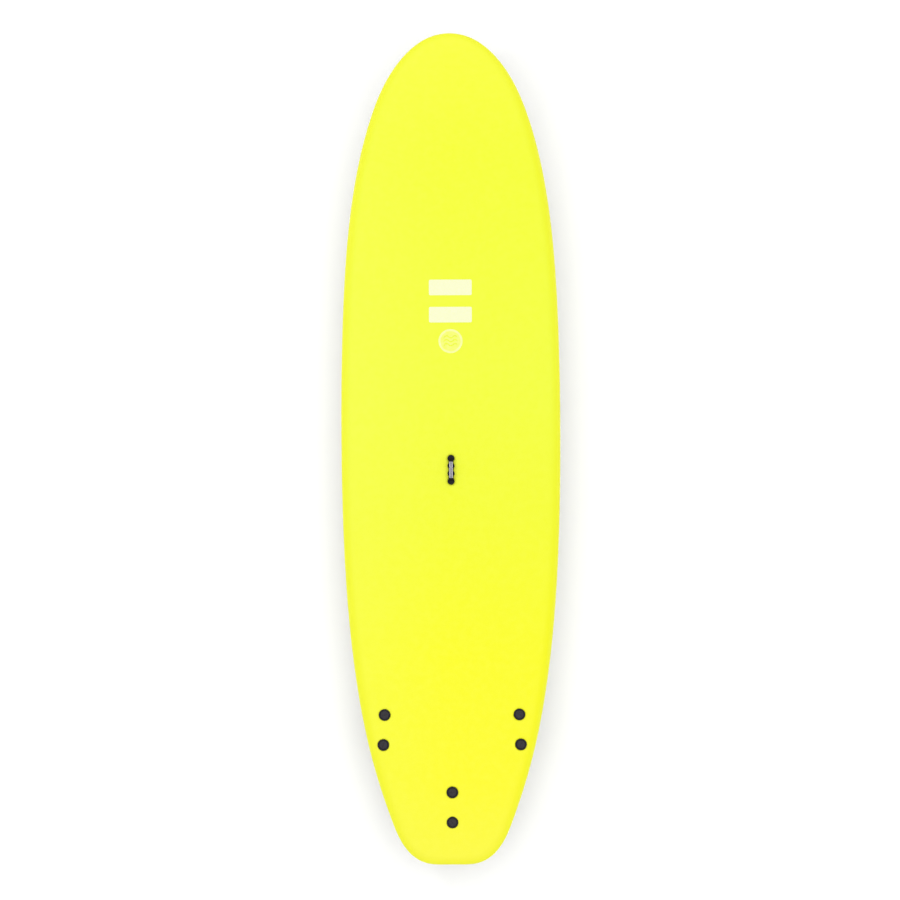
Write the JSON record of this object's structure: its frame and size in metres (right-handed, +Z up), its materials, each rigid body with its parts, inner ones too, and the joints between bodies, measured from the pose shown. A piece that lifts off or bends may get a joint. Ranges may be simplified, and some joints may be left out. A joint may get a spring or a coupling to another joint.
{
  "type": "surfboard",
  "caption": "Soft-top surfboard with rounded nose, squared tail, bolt-through thruster fins, deck carry handle and pale deck bars",
  "frame": {"origin": "under the middle of the board, level with the tips of the side fins", "axes": "+X to the right-hand rail, +Y to the nose, +Z up out of the deck"},
  "size_m": [0.5636, 2.1343, 0.2542],
  "materials": {
    "eps_core": "matte",
    "stringer_ply": "matte",
    "laminate": "satin",
    "deck_foam": "matte",
    "bottom_slick": "satin",
    "pale_print": "matte",
    "black_nylon": "satin",
    "screw_nylon": "satin",
    "seal_rubber": "matte",
    "fin_rubber": "satin",
    "insert_brass": "satin",
    "handle_rubber": "matte",
    "grey_inlay": "matte"
  },
  "bodies": {
    "hull": {"core_left": "eps_core", "core_centre": "eps_core", "core_right": "eps_core", "stringer_left": "stringer_ply", "stringer_right": "stringer_ply", "deck_laminate": "laminate", "bottom_laminate": "laminate", "deck_skin": "deck_foam", "bottom_skin": "bottom_slick", "deck_bar_front": "pale_print", "deck_bar_rear": "pale_print", "deck_emblem": "pale_print", "deck_cup_left_front": "black_nylon", "fin_sleeve_left_front": "black_nylon", "deck_cup_left_rear": "black_nylon", "fin_sleeve_left_rear": "black_nylon", "deck_cup_right_front": "black_nylon", "fin_sleeve_right_front": "black_nylon", "deck_cup_right_rear": "black_nylon", "fin_sleeve_right_rear": "black_nylon", "deck_cup_centre_front": "black_nylon", "fin_sleeve_centre_front": "black_nylon", "deck_cup_centre_rear": "black_nylon", "fin_sleeve_centre_rear": "black_nylon", "handle_span_front": "handle_rubber", "handle_end_front": "handle_rubber", "handle_anchor_front": "black_nylon", "handle_span_rear": "handle_rubber", "handle_end_rear": "handle_rubber", "handle_anchor_rear": "black_nylon"},
    "grip": {"handle_grip": "handle_rubber", "handle_inlay": "grey_inlay"},
    "fin_left": {"fin_blade_left": "fin_rubber", "fin_tang_left": "black_nylon", "fin_insert_left_front": "insert_brass", "fin_insert_left_rear": "insert_brass"},
    "fin_centre": {"fin_blade_centre": "fin_rubber", "fin_tang_centre": "black_nylon", "fin_insert_centre_front": "insert_brass", "fin_insert_centre_rear": "insert_brass"},
    "fin_right": {"fin_blade_right": "fin_rubber", "fin_tang_right": "black_nylon", "fin_insert_right_front": "insert_brass", "fin_insert_right_rear": "insert_brass"},
    "washer_left_front": {"sealing_washer_left_front": "seal_rubber"},
    "screw_left_front": {"fin_screw_left_front": "screw_nylon"},
    "washer_left_rear": {"sealing_washer_left_rear": "seal_rubber"},
    "screw_left_rear": {"fin_screw_left_rear": "screw_nylon"},
    "washer_right_front": {"sealing_washer_right_front": "seal_rubber"},
    "screw_right_front": {"fin_screw_right_front": "screw_nylon"},
    "washer_right_rear": {"sealing_washer_right_rear": "seal_rubber"},
    "screw_right_rear": {"fin_screw_right_rear": "screw_nylon"},
    "washer_centre_front": {"sealing_washer_centre_front": "seal_rubber"},
    "screw_centre_front": {"fin_screw_centre_front": "screw_nylon"},
    "washer_centre_rear": {"sealing_washer_centre_rear": "seal_rubber"},
    "screw_centre_rear": {"fin_screw_centre_rear": "screw_nylon"}
  },
  "joints": [
    {"name": "handle_lift", "type": "slide", "parent": "hull", "child": "grip", "axis": [0, 0, 1], "range_m": [0, 0.008], "stiffness_N_per_m": 1500, "deforming": ["handle_span_front", "handle_span_rear"]},
    {"name": "fin_release_left", "type": "slide", "parent": "hull", "child": "fin_left", "axis": [0, 0, -1], "range_m": [0, 0.038]},
    {"name": "fin_release_centre", "type": "slide", "parent": "hull", "child": "fin_centre", "axis": [0, 0, -1], "range_m": [0, 0.03]},
    {"name": "fin_release_right", "type": "slide", "parent": "hull", "child": "fin_right", "axis": [0, 0, -1], "range_m": [0, 0.038]},
    {"name": "washer_rise_left_front", "type": "slide", "parent": "hull", "child": "washer_left_front", "axis": [0, 0, 1], "range_m": [0, 0.01]},
    {"name": "screw_turn_left_front", "type": "hinge", "parent": "washer_left_front", "child": "screw_left_front", "pos_m": [-0.1732, -0.6815, 0.17789], "axis": [0, 0, 1], "range_deg": [0, 1801]},
    {"name": "washer_rise_left_rear", "type": "slide", "parent": "hull", "child": "washer_left_rear", "axis": [0, 0, 1], "range_m": [0, 0.01]},
    {"name": "screw_turn_left_rear", "type": "hinge", "parent": "washer_left_rear", "child": "screw_left_rear", "pos_m": [-0.1768, -0.7586, 0.17816], "axis": [0, 0, 1], "range_deg": [0, 1801]},
    {"name": "washer_rise_right_front", "type": "slide", "parent": "hull", "child": "washer_right_front", "axis": [0, 0, 1], "range_m": [0, 0.01]},
    {"name": "screw_turn_right_front", "type": "hinge", "parent": "washer_right_front", "child": "screw_right_front", "pos_m": [0.1732, -0.6815, 0.17789], "axis": [0, 0, 1], "range_deg": [0, 1801]},
    {"name": "washer_rise_right_rear", "type": "slide", "parent": "hull", "child": "washer_right_rear", "axis": [0, 0, 1], "range_m": [0, 0.01]},
    {"name": "screw_turn_right_rear", "type": "hinge", "parent": "washer_right_rear", "child": "screw_right_rear", "pos_m": [0.1768, -0.7586, 0.17816], "axis": [0, 0, 1], "range_deg": [0, 1801]},
    {"name": "washer_rise_centre_front", "type": "slide", "parent": "hull", "child": "washer_centre_front", "axis": [0, 0, 1], "range_m": [0, 0.01]},
    {"name": "screw_turn_centre_front", "type": "hinge", "parent": "washer_centre_front", "child": "screw_centre_front", "pos_m": [0, -0.881, 0.18184], "axis": [0, 0, 1], "range_deg": [0, 1801]},
    {"name": "washer_rise_centre_rear", "type": "slide", "parent": "hull", "child": "washer_centre_rear", "axis": [0, 0, 1], "range_m": [0, 0.01]},
    {"name": "screw_turn_centre_rear", "type": "hinge", "parent": "washer_centre_rear", "child": "screw_centre_rear", "pos_m": [0, -0.9582, 0.18261], "axis": [0, 0, 1], "range_deg": [0, 1801]}
  ],
  "couplings": [
    {"joint": "screw_turn_left_front", "follows": "washer_rise_left_front", "rad_per_m": 3141.6},
    {"joint": "screw_turn_left_rear", "follows": "washer_rise_left_rear", "rad_per_m": 3141.6},
    {"joint": "screw_turn_right_front", "follows": "washer_rise_right_front", "rad_per_m": 3141.6},
    {"joint": "screw_turn_right_rear", "follows": "washer_rise_right_rear", "rad_per_m": 3141.6},
    {"joint": "screw_turn_centre_front", "follows": "washer_rise_centre_front", "rad_per_m": 3141.6},
    {"joint": "screw_turn_centre_rear", "follows": "washer_rise_centre_rear", "rad_per_m": 3141.6}
  ]
}
